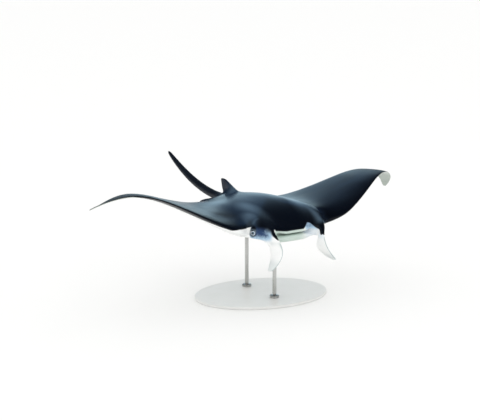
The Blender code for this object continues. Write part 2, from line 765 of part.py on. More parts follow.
clear_scene()
SKIN = material("wet_skin", (0.030, 0.040, 0.052), 0.38)
EYE = material("eye", (0.010, 0.012, 0.014), 0.08)
POWDER_COAT = material("powder_coat", (0.80, 0.80, 0.79), 0.45)
STEEL = material("brushed_steel", (0.62, 0.62, 0.61), 0.30, 1.0)

body_mesh = whole_body()
part_body(body_mesh)
build_eye(1)
build_eye(-1)
build_base()
cutter_object = belly_cutter(body_mesh)
for rod_name, rod_y in zip(("front", "rear"), ROD_Y):
    build_rod(f"stand_rod_{rod_name}", rod_y, cutter_object)
    build_collar(f"stand_collar_{rod_name}", rod_y)
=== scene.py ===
"""Reef manta ray, life-size, as a display model on a two-rod stand: skin, eyes, stand and studio.

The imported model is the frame. Every piece here takes its place and size from it, in metres: the
animal faces -Y, its left side is +X and +Z is up. Run as a script, it builds each piece through
the operators below and leaves the scene ready to render.
"""

import json
import math

import bpy
import numpy as np
from bpy.props import FloatProperty, FloatVectorProperty, IntProperty, PointerProperty
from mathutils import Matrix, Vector
from mathutils.bvhtree import BVHTree
from mathutils.kdtree import KDTree

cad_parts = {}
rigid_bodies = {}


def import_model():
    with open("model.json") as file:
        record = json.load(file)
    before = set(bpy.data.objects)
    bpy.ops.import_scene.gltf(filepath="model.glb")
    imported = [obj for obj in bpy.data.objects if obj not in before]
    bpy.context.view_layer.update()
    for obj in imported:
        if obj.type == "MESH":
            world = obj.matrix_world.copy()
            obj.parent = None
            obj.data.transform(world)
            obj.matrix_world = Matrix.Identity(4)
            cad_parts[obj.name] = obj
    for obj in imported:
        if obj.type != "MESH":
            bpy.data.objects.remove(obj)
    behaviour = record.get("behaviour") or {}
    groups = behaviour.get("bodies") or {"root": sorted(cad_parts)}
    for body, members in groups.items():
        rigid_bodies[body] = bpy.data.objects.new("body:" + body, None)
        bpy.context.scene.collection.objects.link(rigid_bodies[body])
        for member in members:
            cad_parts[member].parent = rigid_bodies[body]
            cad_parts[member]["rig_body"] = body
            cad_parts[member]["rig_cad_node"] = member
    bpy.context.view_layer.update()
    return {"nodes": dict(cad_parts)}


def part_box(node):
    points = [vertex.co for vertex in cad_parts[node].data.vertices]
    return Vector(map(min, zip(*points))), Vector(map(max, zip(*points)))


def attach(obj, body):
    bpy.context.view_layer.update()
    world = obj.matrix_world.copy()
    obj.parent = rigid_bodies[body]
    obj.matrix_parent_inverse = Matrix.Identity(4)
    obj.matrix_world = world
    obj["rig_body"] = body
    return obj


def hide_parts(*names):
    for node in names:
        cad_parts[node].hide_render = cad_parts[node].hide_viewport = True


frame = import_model()

bl_info = {
    "name": "Reef manta ray display model",
    "version": (1, 0, 0),
    "blender": (4, 5, 0),
    "location": "3D View > Sidebar > Manta Ray",
    "description": "Builds a life-size manta ray on its stand, with a studio to show it in",
    "category": "Object",
}

MM = 0.001
LEVEL_WITHIN = 0.01 * MM  # points this close to a height count as lying at it
SHADE_ANGLE = math.radians(40)
SIDES = {"left": 1, "right": -1}
RODS = ("front", "rear")
FLESH = sorted(n for n in frame["nodes"] if not n.startswith(("stand_", "eye_")))


# ---------------------------------------------------------------- measures taken from the frame
def size_of(node):
    """(width, depth, height) of a node of the frame."""
    low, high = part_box(node)
    return high - low


def centre_of(node):
    low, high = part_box(node)
    return (low + high) / 2


EYE_RADIUS = size_of("eye_left").x / 2
EYES = [np.array(centre_of(f"eye_{side}")) for side in SIDES]


# ---------------------------------------------------------------- numbers
def linear(hex_colour):
    """A Blender colour from an sRGB hex value."""
    parts = [int(hex_colour[n : n + 2], 16) / 255 for n in (1, 3, 5)]
    return [p / 12.92 if p <= 0.04045 else ((p + 0.055) / 1.055) ** 2.4 for p in parts] + [1.0]


def smooth(low, high, value):
    """0 below low and 1 above high, with an even rise between. high may be the smaller one."""
    share = np.clip((value - low) / (high - low), 0, 1)
    return share * share * (3 - 2 * share)


def between(low, high, soft, value):
    """1 from low to high, falling to 0 over a distance of soft outside them."""
    return smooth(low - soft, low, value) * smooth(high + soft, high, value)


def bell(centre, width, value):
    return np.exp(-(((value - centre) / width) ** 2))


def power(exponent, value):
    return value**exponent


def zone(at, strength, *terms):
    """A soft-edged zone: its strength times each term, a function of one of the fields in at."""
    for field, function, *numbers in terms:
        strength = strength * function(*numbers, at[field])
    return strength


# ---------------------------------------------------------------- meshes
def deselect():
    bpy.ops.object.select_all(action="DESELECT")


def only(piece):
    """Makes piece the one selected and active object."""
    deselect()
    piece.select_set(True)
    bpy.context.view_layer.objects.active = piece


def added(name):
    """The object that an operator has just added, under its own name and with no offset."""
    piece = bpy.context.object
    piece.name = piece.data.name = name
    bpy.ops.object.transform_apply(location=True, rotation=True, scale=True)
    return piece


def read(items, field, width=3, kind=float):
    """A row of width numbers for each of a mesh's points, edges or faces."""
    flat = np.empty(len(items) * width, kind)
    items.foreach_get(field, flat)
    return flat.reshape(-1, width) if width > 1 else flat


def places_of(mesh):
    return read(mesh.vertices, "co")


def normals_of(mesh):
    return read(mesh.vertices, "normal")


def move_points(mesh, places):
    mesh.vertices.foreach_set("co", np.asarray(places, np.float32).ravel())
    mesh.update()


def store(mesh, name, values):
    """Keeps one number for each point, for the materials to read."""
    kept = mesh.attributes.get(name) or mesh.attributes.new(name, "FLOAT", "POINT")
    kept.data.foreach_set("value", np.asarray(values, np.float32))


def edit(piece, kind, chosen):
    """Opens piece in edit mode with only its flagged edges or faces selected."""
    mesh = piece.data
    for items in (mesh.vertices, mesh.edges, mesh.polygons):
        items.foreach_set("select", np.zeros(len(items), bool))
    (mesh.edges if kind == "EDGE" else mesh.polygons).foreach_set("select", chosen)
    only(piece)
    bpy.context.tool_settings.mesh_select_mode = tuple(k == kind for k in ("VERT", "EDGE", "FACE"))
    bpy.ops.object.mode_set(mode="EDIT")


def leave_edit():
    bpy.ops.object.mode_set(mode="OBJECT")


def finish_piece(piece, slot, *nodes):
    """Rides the piece on the body, and hides the nodes it stands for. slot is not used."""
    if nodes:
        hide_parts(*nodes)
    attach(piece, "root")


# ---------------------------------------------------------------- settings
def length(name, description, default):
    return FloatProperty(name=name, description=description, default=default, unit="LENGTH")


def angle(name, description, degrees):
    return FloatProperty(
        name=name, description=description, default=math.radians(degrees), subtype="ANGLE"
    )


def count(name, description, default):
    return IntProperty(name=name, description=description, default=default, min=1)


def colour(name, description, default):
    return FloatVectorProperty(
        name=name, description=description, default=linear(default),
        size=4, min=0, max=1, subtype="COLOR",
    )


class MantaShape(bpy.types.PropertyGroup):
    """Sizes of what the skin adds to the body's own shape, and of the stand's fittings."""

    weld: length("Weld distance", "Points of two pieces this close are joined", 0.0007)
    smoothing: count("Smoothing", "Subdivision levels of the skin", 2)
    eye_cuts: count("Eye cuts", "Cuts of each face round the eyes", 1)
    eyelid: length("Eyelid height", "How far the fold round an eye stands out", 0.0045)
    gill_count: count("Gill slits", "Gill slits on each side", 5)
    gill_cuts: count("Gill cuts", "Cuts of each face in the gill region", 11)
    gill_depth: length("Gill slit depth", "How far a slit sinks into the belly", 0.014)
    gill_flap: length("Gill flap height", "How far the flap before a slit stands out", 0.009)
    plate_bevel: length("Plate rim", "Radius of the base plate's rims", 0.006)
    collar_bevel: length("Collar rim", "Radius of a collar's rims", 0.004)
    screw: length("Screw head", "Radius of a collar screw's head", 0.0055)
    screw_circle: length("Screw circle", "From a rod's axis to the screws round it", 0.032)
    screw_count: count("Screws", "Screws in each collar", 4)
    gasket_wall: length("Gasket wall", "Thickness of the rubber cup on a rod", 0.004)
    gasket_height: length("Gasket height", "How far the rubber cup reaches down a rod", 0.022)


class MantaColours(bpy.types.PropertyGroup):
    """Colours of the animal and its stand."""

    back: colour("Back", "Blue-black of the back and the upper wings", "#0e1c2e")
    back_pale: colour("Back, paler", "Blue-grey of the back's soft patches and streaks", "#182b40")
    # painted sheen: a paler blue-grey laid on the flanks, haunches, crest and middle of the back,
    # where the gloss catches the light
    painted_sheen: colour("Shoulder", "Blue-grey of the paler shoulders", "#5c7589")
    # head: black of the dark band along the right wing's root, and painted shade on the head's
    # front slope, the wings' front edges and tips, the dip by the right wing's root and the creases
    # behind the eyes
    head: colour("Head", "Black of the head's front slope and the wings' front edges", "#000511")
    # blue and blue_pale also make the painted reflection inside the left head fin's root
    blue: colour("Cheek", "Blue where the dark top fades out on the head's side", "#2c4469")
    blue_pale: colour("Cheek, paler", "Pale blue between the cheek and the white", "#a9c6dc")
    eyelid: colour("Eyelid", "Slate of the skin round the eye", "#6a7b87")
    fin_shade: colour("Head fin edge", "Grey of a head fin's front edge and tip", "#b4c0c0")
    belly: colour("Belly", "White of the underside", "#f7f8f7")
    dusk: colour("Wing rim below", "Grey-green below the wing's tip and back edge", "#b6beb7")
    lips: colour("Lips", "Cream of the lips and lower jaw", "#c6d5cd")
    # painted shade in the gill slits, standing in for the depth of their openings
    slit_shade_tone: colour("Throat", "Inside of the gill slits", "#1c2320")
    spots: colour("Belly spots", "Charcoal spots between and behind the gills", "#3a3f44")
    # pupil also colours the eyeball past its rim: painted shadow of the eyelid
    pupil: colour("Pupil", "Black of the pupil and of the eye's hidden back", "#030304")
    iris: colour("Iris", "Slate ring of the eye", "#5a6f7e")
    # pale rim: partly the eye's own rim and partly a painted highlight
    eye_rim_and_highlight: colour("Eye rim", "Pale ring round the iris", "#cfdce8")
    coat: colour("Powder coat", "Pale grey of the base plate", "#e2e2df")
    coat_worn: colour("Powder coat, worn", "The plate's paler, rubbed patches", "#e5e5e3")
    steel: colour("Steel", "Brushed stainless steel of rods and collars", "#bcbdbb")
    steel_bright: colour("Steel, bright", "The bright lines of the brushing", "#c8c9c7")
    rubber: colour("Rubber", "Dark rubber of the gaskets", "#161718")
    rubber_bloom: colour("Rubber bloom", "Grey bloom on the rubber", "#26282a")


class MantaStage(bpy.types.PropertyGroup):
    """Floor and camera."""

    floor_radius: length("Floor radius", "Radius of the pale floor", 120.0)
    floor: colour("Floor", "Pale floor", "#f6f6f5")
    lens: FloatProperty(
        name="Lens", description="Focal length in mm on a 36 mm sensor", default=96.0, unit="CAMERA"
    )
    azimuth: angle("Azimuth", "Direction the camera looks from, 0 in front of the face", -31.666)
    elevation: angle("Elevation", "Camera's angle above level", 11.067)
    distance: length("Distance", "From the camera to what it looks at", 12.051)
    target: FloatVectorProperty(
        name="Target", description="Point the camera looks at",
        default=(-0.3035, -0.10, 0.8838), unit="LENGTH",
    )


# ---------------------------------------------------------------- nodes
SMOOTH_STEP = {"interpolation_type": "SMOOTHSTEP"}
COLOUR_MIX = {"out": 2, "data_type": "RGBA"}  # sockets 0, 6 and 7 are factor, first and second


def plug(tree, node, inputs):
    """Gives a node's sockets a value or a link, in order or by number or name."""
    for socket, value in inputs.items() if isinstance(inputs, dict) else enumerate(inputs):
        if isinstance(value, bpy.types.NodeSocket):
            tree.links.new(value, node.inputs[socket])
        else:
            node.inputs[socket].default_value = value


def add(tree, kind, inputs, out=0, **settings):
    """Adds one node with its inputs plugged and its settings made, and returns one output."""
    made = tree.nodes.new("ShaderNode" + kind)
    for name, value in settings.items():
        setattr(made, name, value)
    plug(tree, made, inputs)
    return made.outputs[out]


def new_material(name, sockets):
    """A material with one Principled shader, and its tree, shader and object coordinates."""
    made = bpy.data.materials.new(name)
    made.use_nodes = True
    tree = made.node_tree
    shader = tree.nodes["Principled BSDF"]
    plug(tree, shader, sockets)
    return made, tree, shader, add(tree, "TexCoord", {}, "Object")


# ---------------------------------------------------------------- materials of the animal
CLOUD_WIDTH = 220 * MM  # soft patches of tone on the back
STREAK_WIDTH = 26 * MM  # between the streaks that run out along a wing over its muscles
STREAK_STRETCH = (0.08, 1, 0.5)  # draws the streaks out along the wings
FLECK_WIDTH = 18 * MM  # pale flecks in the blue of the cheeks and of the painted reflection inside the left head fin's root
SPOT_SPACING = 85 * MM  # between the dark spots on the belly
GRAIN_WIDTH = 3 * MM  # skin teeth stand about 0.5 mm apart: drawn coarser, so that they show
SLIME_IOR = 1.34  # close to water's
DULL_ROUGHNESS = 0.22  # added to the skin's roughness where it has less slime
FIELDS = (
    "over_under", "black", "painted_sheen", "dusk", "lips", "blue", "fin_shade",
    "eyelid", "eye_patch", "spotted", "hollow", "dull",
)


def skin_material(colours):
    """Ray skin under a thin slime: near-black above and white below. The slime gives a satin
    sheen at low angles, the skin teeth a fine grain, and the wing's muscles faint streaks."""
    made, tree, shader, place = new_material("wet_ray_skin", {"IOR": SLIME_IOR})
    mark = {name: add(tree, "Attribute", {}, "Fac", attribute_name=name) for name in FIELDS}
    along = add(tree, "Mapping", {"Vector": place, "Scale": STREAK_STRETCH})
    noise = {}
    for name, where, width, detail in (
        ("clouds", place, CLOUD_WIDTH, 3.0),
        ("streaks", along, STREAK_WIDTH, 2.0),
        ("flecks", place, FLECK_WIDTH, 2.0),
        ("grain", place, GRAIN_WIDTH, 2.0),
    ):
        noise[name] = add(tree, "TexNoise", {"Vector": where, "Scale": 1 / width, "Detail": detail})
    noise["cells"] = add(tree, "TexVoronoi", {"Vector": place, "Scale": 1 / SPOT_SPACING})

    # Each row: the share's name, what it follows, from and to, and what it is at each end.
    share = {}
    for name, *row in (
        ("pale", noise["clouds"], 0.35, 0.65),
        ("streaked", noise["streaks"], 0.40, 0.75, 0.0, 0.5),
        ("flecked", noise["flecks"], 0.35, 0.62, 0.94, 1.10),
        ("in_spot", noise["cells"], 0.30, 0.16),
        ("dark", mark["over_under"], -0.12, 0.06),
        ("wet", noise["clouds"], 0.3, 0.7, 0.28, 0.34),
    ):
        share[name] = add(tree, "MapRange", row, **SMOOTH_STEP)
    for name, *row in (
        ("blue", mark["blue"], share["flecked"]),
        ("spots", mark["spotted"], share["in_spot"]),
        ("dull", mark["dull"], DULL_ROUGHNESS),
    ):
        share[name] = add(tree, "Math", row, operation="MULTIPLY")
    for name, low, high in (("blue_rim", 0.0, 0.5), ("blue_core", 0.4, 1.0)):
        row = (share["blue"], low, high)
        share[name] = add(tree, "MapRange", row, **SMOOTH_STEP)

    # Each row: the tone it makes, the share of the second tone, and the two tones.
    tone = {}
    for name, factor, first, second in (
        ("back", share["pale"], colours.back, colours.back_pale),
        ("back", share["streaked"], "back", colours.back_pale),
        # painted shade: black on the head's front slope, the wings' front edges and tips, a dip and
        # the creases behind the eyes
        ("over", mark["black"], "back", colours.head),
        # painted sheen over the dark back
        ("over", mark["painted_sheen"], "over", colours.painted_sheen),
        ("under", mark["dusk"], colours.belly, colours.dusk),
        ("under", mark["lips"], "under", colours.lips),
        # blue_rim and blue_core also lay the painted reflection inside the left head fin's root
        ("under", share["blue_rim"], "under", colours.blue_pale),
        ("under", share["blue_core"], "under", colours.blue),
        ("under", mark["fin_shade"], "under", colours.fin_shade),
        ("skin", share["dark"], "under", "over"),
        ("lid", mark["eyelid"], colours.head, colours.eyelid),
        ("skin", mark["eye_patch"], "skin", "lid"),
        ("skin", share["spots"], "skin", colours.spots),
        # painted shade in the gill slits
        ("skin", mark["hollow"], "skin", colours.slit_shade_tone),
    ):
        first, second = (tone[t] if isinstance(t, str) else t for t in (first, second))
        tone[name] = add(tree, "Mix", {0: factor, 6: first, 7: second}, **COLOUR_MIX)

    relief = add(tree, "Bump", {"Height": noise["streaks"], "Distance": 0.6 * MM, "Strength": 0.5})
    relief = add(
        tree, "Bump",
        {"Height": noise["grain"], "Distance": 0.25 * MM, "Strength": 0.5, "Normal": relief},
    )
    rough = add(tree, "Math", (share["wet"], share["dull"]), operation="ADD")
    plug(tree, shader, {"Base Color": tone["skin"], "Roughness": rough, "Normal": relief})
    return made


PUPIL_EDGE, IRIS_EDGE, RIM_EDGE = 0.30, 0.68, 1.12  # angles from the gaze, in radians
EDGE_SOFTNESS = 0.03  # to each side of an edge


def eye_material(colours):
    """A glass eye: black pupil, slate iris and a pale rim under a hard gloss. The pale rim is
    partly a painted highlight, and the black past it is painted shadow of the eyelid.
    """
    made, tree, shader, _ = new_material("glass_eye", {"Roughness": 0.04, "IOR": 1.5})
    from_gaze = add(tree, "Attribute", {}, "Fac", attribute_name="from_gaze")
    tone = colours.pupil
    for edge, after in (
        (PUPIL_EDGE, colours.iris), (IRIS_EDGE, colours.eye_rim_and_highlight), (RIM_EDGE, colours.pupil)
    ):
        row = (from_gaze, edge - EDGE_SOFTNESS, edge + EDGE_SOFTNESS)
        beyond = add(tree, "MapRange", row, **SMOOTH_STEP)
        tone = add(tree, "Mix", {0: beyond, 6: tone, 7: after}, **COLOUR_MIX)
    plug(tree, shader, {"Base Color": tone})
    return made


# ---------------------------------------------------------------- materials of the stand
EVEN = (1, 1, 1)
NOISE_LOW, NOISE_HIGH = 0.35, 0.65  # most of a noise lies between these


def worked_finish(name, sockets, patches, roughness, tones=None, relief=None):
    """A finish whose tones and roughness follow patches, with a finer relief over them. patches
    and relief each hold a width, a detail and a stretch, and relief also a depth and strength."""
    made, tree, shader, place = new_material(name, sockets)
    noises = []
    for width, detail, stretch, *_ in filter(None, (patches, relief)):
        where = add(tree, "Mapping", {"Vector": place, "Scale": stretch})
        noises.append(
            add(tree, "TexNoise", {"Vector": where, "Scale": 1 / width, "Detail": detail})
        )
    rough = add(tree, "MapRange", (noises[0], NOISE_LOW, NOISE_HIGH, *roughness))
    plug(tree, shader, {"Roughness": rough})
    if tones:
        share = add(tree, "MapRange", (noises[0], NOISE_LOW, NOISE_HIGH))
        tone = add(tree, "Mix", {0: share, 6: tones[0], 7: tones[1]}, **COLOUR_MIX)
        plug(tree, shader, {"Base Color": tone})
    if relief:
        inputs = {"Height": noises[1], "Distance": relief[3], "Strength": relief[4]}
        plug(tree, shader, {"Normal": add(tree, "Bump", inputs)})
    return made


def coat_material(colours):
    """Powder coat baked on aluminium: an even satin, with the shallow dimples of orange peel.
    The dimples are 2 mm wide, drawn at 5 mm so that they show."""
    return worked_finish(
        "powder_coat_on_aluminium", {}, (160 * MM, 2.0, EVEN), (0.40, 0.47),
        tones=(colours.coat, colours.coat_worn), relief=(5 * MM, 1.0, EVEN, 0.15 * MM, 0.4),
    )


def steel_material(colours):
    """Stainless steel brushed round the rod with a 180 grit belt: fine level rings that draw the
    highlight out along it. The scratches are 0.1 mm wide, drawn at 1.5 mm so that they show."""
    rings = (1.5 * MM, 3.0, (0.03, 0.03, 1))
    return worked_finish(
        "brushed_stainless_steel", {"Metallic": 1.0, "Anisotropic": 0.4}, rings, (0.26, 0.33),
        tones=(colours.steel, colours.steel_bright), relief=(*rings, 0.05 * MM, 0.5),
    )


def rubber_material(colours):
    """Moulded EPDM rubber: nearly black and matt, greyed a little by bloom on its surface."""
    return worked_finish(
        "moulded_epdm_rubber", {}, (9 * MM, 2.0, EVEN), (0.62, 0.78),
        tones=(colours.rubber, colours.rubber_bloom),
    )


def floor_material(stage):
    """Matt studio vinyl: one pale tone with no gloss, a little uneven in its roughness."""
    return worked_finish(
        "matt_studio_vinyl", {"Base Color": stage.floor}, (400 * MM, 2.0, EVEN), (0.86, 0.94)
    )


# ---------------------------------------------------------------- skin: one mesh
def mark_cuts(copies, distance):
    """Marks the faces of each copy that lie on a cut: all their corners meet another piece."""
    places = [places_of(piece.data) for piece in copies]
    tree = KDTree(sum(map(len, places)))
    owners = np.concatenate([np.full(len(p), n) for n, p in enumerate(places)])
    for index, place in enumerate(np.concatenate(places)):
        tree.insert(place, index)
    tree.balance()
    for own, piece in enumerate(copies):
        meets = [
            {int(owners[i]) for _, i, _ in tree.find_range(place, distance)} - {own}
            for place in places[own]
        ]
        cut = [
            bool(set.intersection(*(meets[corner] for corner in face.vertices)))
            for face in piece.data.polygons
        ]
        piece.data.attributes.new("cut", "BOOLEAN", "FACE").data.foreach_set("value", cut)


def joined_skin(nodes, shape):
    """One closed, smooth mesh over all the nodes: their copies, less the faces on the cuts."""
    deselect()
    for name in nodes:
        frame["nodes"][name].select_set(True)
    bpy.context.view_layer.objects.active = frame["nodes"][nodes[0]]
    bpy.ops.object.duplicate()
    copies = list(bpy.context.selected_objects)
    bpy.ops.object.parent_clear(type="CLEAR_KEEP_TRANSFORM")
    mark_cuts(copies, shape.weld)
    bpy.ops.object.join()
    skin = bpy.context.object
    skin.name = skin.data.name = "body_skin"
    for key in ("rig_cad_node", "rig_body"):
        del skin[key]
    edit(skin, "FACE", read(skin.data.attributes["cut"].data, "value", 1, bool))
    bpy.ops.mesh.delete(type="FACE")
    bpy.ops.mesh.select_all(action="SELECT")
    bpy.ops.mesh.remove_doubles(threshold=shape.weld)
    bpy.ops.mesh.select_all(action="SELECT")
    bpy.ops.mesh.fill_holes(sides=3)
    bpy.ops.mesh.select_all(action="SELECT")
    bpy.ops.mesh.tris_convert_to_quads(
        face_threshold=math.pi, shape_threshold=math.pi, topology_influence=2.0
    )
    bpy.ops.mesh.normals_make_consistent(inside=False)
    leave_edit()
    skin.data.attributes.remove(skin.data.attributes["cut"])
    bpy.ops.object.modifier_add(type="SUBSURF")
    modifier = skin.modifiers[-1]
    modifier.levels = modifier.render_levels = shape.smoothing
    bpy.ops.object.modifier_apply(modifier=modifier.name)
    return skin


# ---------------------------------------------------------------- skin: eyelids and gills
EYE_REGION = 65 * MM  # from an eye's centre to the edge of the finer skin round it
LID_FOLD = (10 * MM, 6 * MM)  # the fold's distance from the eyeball, and its width
LID_GROOVE = (1 * MM, 3 * MM)  # the same of the groove inside it
GROOVE_SHARE = 0.8  # the groove's depth as a share of the fold's height

GILL_REGION = ((0.10, -0.30), (0.36, 0.17))  # lowest and highest (distance from the middle, y)
GILL_FACING = -0.55  # a normal's height below which skin belongs to the belly
GILL_LONG = 2.0  # an edge this many times as long as wide is cut across
GILL_SMOOTHING = {"factor": 0.5, "repeat": 6}
GILL_FADE = (-0.2, -0.6)  # heights of a normal between which the slits come in
GILL_FRONT, GILL_ROW = -0.235, 0.33  # y of the first slit, and from it to the last
GILL_INNER = (0.150, 0.115)  # inner end of the first and the last slit, from the middle
GILL_OUTER = (0.335, 0.250)  # outer end of the same
GILL_SWEEP, GILL_BOW = 0.035, 0.030  # how far a slit runs back, and how far it bows forwards
GILL_CLOSED = 0.16  # share of a slit's length over which it closes at each end
FLAP_RISE, FLAP_FALL = (-45 * MM, -4 * MM), (3 * MM, 0.0)  # distances behind the slit's line
SLIT_WALLS = (-1 * MM, 4 * MM), (20 * MM, 5 * MM)
# where painted shade darkens a slit: its front and back walls, as above
SLIT_SHADE_WALLS = (0.0, 4 * MM), (14 * MM, 6 * MM)


def refine_eyes(skin, shape):
    """Cuts the faces round each eye into finer ones."""
    middles = read(skin.data.polygons, "center")
    distances = [np.linalg.norm(middles - centre, axis=1) for centre in EYES]
    edit(skin, "FACE", np.minimum(*distances) < EYE_REGION)
    bpy.ops.mesh.subdivide(number_cuts=shape.eye_cuts, smoothness=1.0)
    leave_edit()


def raise_eyelids(mesh, shape):
    """Sinks a groove round each eyeball and raises the fold of the eyelids outside it."""
    places, normals = places_of(mesh), normals_of(mesh)
    lift = np.zeros(len(places))
    for centre in EYES:
        away = np.linalg.norm(places - centre, axis=1) - EYE_RADIUS
        lift += shape.eyelid * (bell(*LID_FOLD, away) - GROOVE_SHARE * bell(*LID_GROOVE, away))
    move_points(mesh, places + normals * lift[:, None])


def refine_gills(skin, shape):
    """Cuts the belly's long faces across, where the gill slits lie."""
    mesh = skin.data
    places, normals = places_of(mesh), normals_of(mesh)
    a, b = read(mesh.edges, "vertices", 2, int).T
    middle, along = (places[a] + places[b]) / 2, np.abs(places[b] - places[a])
    below = (normals[a, 2] < GILL_FACING) & (normals[b, 2] < GILL_FACING)
    spot = np.column_stack([np.abs(middle[:, 0]), middle[:, 1]])
    inside = np.all((spot > GILL_REGION[0]) & (spot < GILL_REGION[1]), axis=1)
    edit(skin, "EDGE", below & inside & (along[:, 1] > GILL_LONG * along[:, 0]))
    bpy.ops.mesh.subdivide(number_cuts=shape.gill_cuts)
    bpy.ops.mesh.vertices_smooth(**GILL_SMOOTHING)
    leave_edit()


def gill_curve(share, x):
    """Y of a gill slit at a distance x from the middle, and how fully the slit is open there.
    share is 0 for the first slit and 1 for the last."""
    inner, outer = (np.interp(share, (0, 1), ends) for ends in (GILL_INNER, GILL_OUTER))
    t = (x - inner) / (outer - inner)
    slit_y = GILL_FRONT + GILL_ROW * share + GILL_SWEEP * t - GILL_BOW * 4 * t * (1 - t)
    return slit_y, smooth(0.0, GILL_CLOSED, t) * smooth(1.0, 1 - GILL_CLOSED, t)


def open_gills(mesh, shape):
    """Sinks the gill slits into the belly, each with a flap of skin standing before it, and stores
    where painted shade darkens each slit.
    """
    places, normals = places_of(mesh), normals_of(mesh)
    x, y = np.abs(places[:, 0]), places[:, 1]
    below = smooth(*GILL_FADE, normals[:, 2])
    lift, hollow = np.zeros(len(x)), np.zeros(len(x))
    for share in np.linspace(0, 1, shape.gill_count):
        slit_y, open_share = gill_curve(share, x)
        behind = y - slit_y
        flap = np.where(behind < 0, smooth(*FLAP_RISE, behind), smooth(*FLAP_FALL, behind))
        slit, dark = (
            smooth(*front, behind) * smooth(*back, behind)
            for front, back in (SLIT_WALLS, SLIT_SHADE_WALLS)
        )
        lift += below * open_share * (shape.gill_flap * flap - shape.gill_depth * slit)
        hollow = np.maximum(hollow, below * open_share * dark)
    move_points(mesh, places + normals * lift[:, None])
    store(mesh, "hollow", hollow)


# ---------------------------------------------------------------- skin: markings
LINE_HEIGHT = 0.05  # height over the dark line that counts as much as a level slope
CHEEK_FADE = 0.26  # added to it on the cheeks, where the dark fades out slowly
LIP_LINE = (  # (x, height) of the dark line over the upper lip
    (-0.25, 0.764), (-0.21, 0.756), (-0.10, 0.746), (0.085, 0.750), (0.12, 0.772),
    (0.155, 0.798), (0.18, 0.788), (0.205, 0.764), (0.25, 0.750),
)
CHEEK_LINE = (  # (y, height) of the dark line on the head's side and down a head fin's front
    (-0.75, 0.695), (-0.69, 0.690), (-0.672, 0.700), (-0.645, 0.727), (-0.62, 0.765),
    (-0.573, 0.787), (-0.50, 0.792), (-0.42, 0.788),
)
ROOT_LINE = (  # (distance from the middle, height) of the dark line along the right wing's root
    (0.39, 0.788), (0.44, 0.777), (0.56, 0.797), (0.64, 0.801), (0.67, 0.799), (0.69, 0.803),
    (0.75, 0.833),
)
LIPS_TO_CHEEK = (0.205, 0.245)  # distances from the middle between which the lines change over
CHEEK_BACK, WING_START = (-0.48, -0.44), (0.43, 0.46)  # y, and x, from the cheek to the left wing
ROOT_START = 0.40  # distance from the middle at which the right root's line takes over
MARGIN = (  # (distance from the middle, share of the wing's depth) of the dark front margin below
    (0.56, -0.10), (0.90, 0.05), (1.15, 0.13), (1.30, 0.13), (1.54, -0.10),
)
MARGIN_SOFT = 0.07  # share of the wing's depth over which the margin fades out
MARGIN_WRAP = 1.15  # added to the slope there, enough to turn the underside dark
DISC_START = 0.42  # distance from the middle at which the head ends and the wing's edges begin
DISC_BINS = 60  # edges of the strips in which the wing's front and back are found
TINY = 1e-6  # keeps a divisor from being nought
FRONT_FADE = (0.50, 0.03)  # shares of the wing's depth from plain back to the painted shade along the front edge

# Each zone is a strength and its terms: the field that a term follows, its shape and the shape's
# numbers. smooth goes from and to, between has low, high and softness, bell a centre and width.
LINE_STEPS = {  # steps of the dark line, in metres
    "wing_root_left": (-0.062, ("x", smooth, 0.37, 0.42), ("behind_cheek", power, 1)),
    "head_fin_wedge_left": (0.040, ("x", smooth, 0.22, 0.24), ("y", smooth, -0.655, -0.69)),
    "head_fin_left": (-0.038, ("x", smooth, 0.20, 0.245), ("x", smooth, 0.29, 0.26)),
}
MASKS = {
    "cheek": (
        1, ("out", between, 0.30, 0.405, 0.035), ("y", smooth, -0.68, -0.58),
        ("y", smooth, -0.432, -0.452),
    ),
    "head": (
        1, ("x", smooth, 0.46, 0.42), ("x", smooth, -0.78, -0.62), ("y", smooth, -0.30, -0.38),
    ),
    # painted shade: round the tail's root the skin takes the dark tone all round, on the pelvic
    # fins' undersides too
    "stern": (1, ("y", smooth, 0.64, 0.72), ("out", smooth, 0.34, 0.26)),
    "wrapped_root": (
        0.6, ("x", smooth, 0.40, 0.46), ("x", smooth, 0.66, 0.60), ("y", smooth, -0.40, -0.44),
    ),
    "wrapped_front": (
        0.6, ("x", smooth, 0.40, 0.46), ("share", smooth, 0.12, 0.02), ("x", smooth, 0.5, 0.6),
    ),
    "cheek_blue": (1, ("z", smooth, 0.640, 0.755)),
    "cheek_front": (0.32, ("y", smooth, -0.54, -0.59), ("z", smooth, 0.725, 0.755)),
    # painted reflection: blue inside the left head fin's root, where its fold catches the light
    "inside_left_fin": (
        1, ("x", smooth, 0.085, 0.13), ("x", smooth, 0.26, 0.235), ("y", smooth, -0.46, -0.52),
    ),
    "fin_root_reflection_low": (0.17, ("z", smooth, 0.62, 0.68)),
    "fin_root_reflection_high": (0.5, ("z", smooth, 0.715, 0.775)),
    "head_fin": (
        1, ("z", smooth, 0.685, 0.65), ("y", smooth, -0.60, -0.63), ("out", smooth, 0.20, 0.22),
    ),
    "fin_front": (1, ("facing", smooth, -0.30, -0.75)),
    "fin_tip": (0.45, ("z", smooth, 0.54, 0.47)),
}
# the dip by the right wing's root, given painted shade and duller skin
HOLLOW_FLANK = (("x", bell, -0.53, 0.12), ("y", bell, -0.20, 0.14))
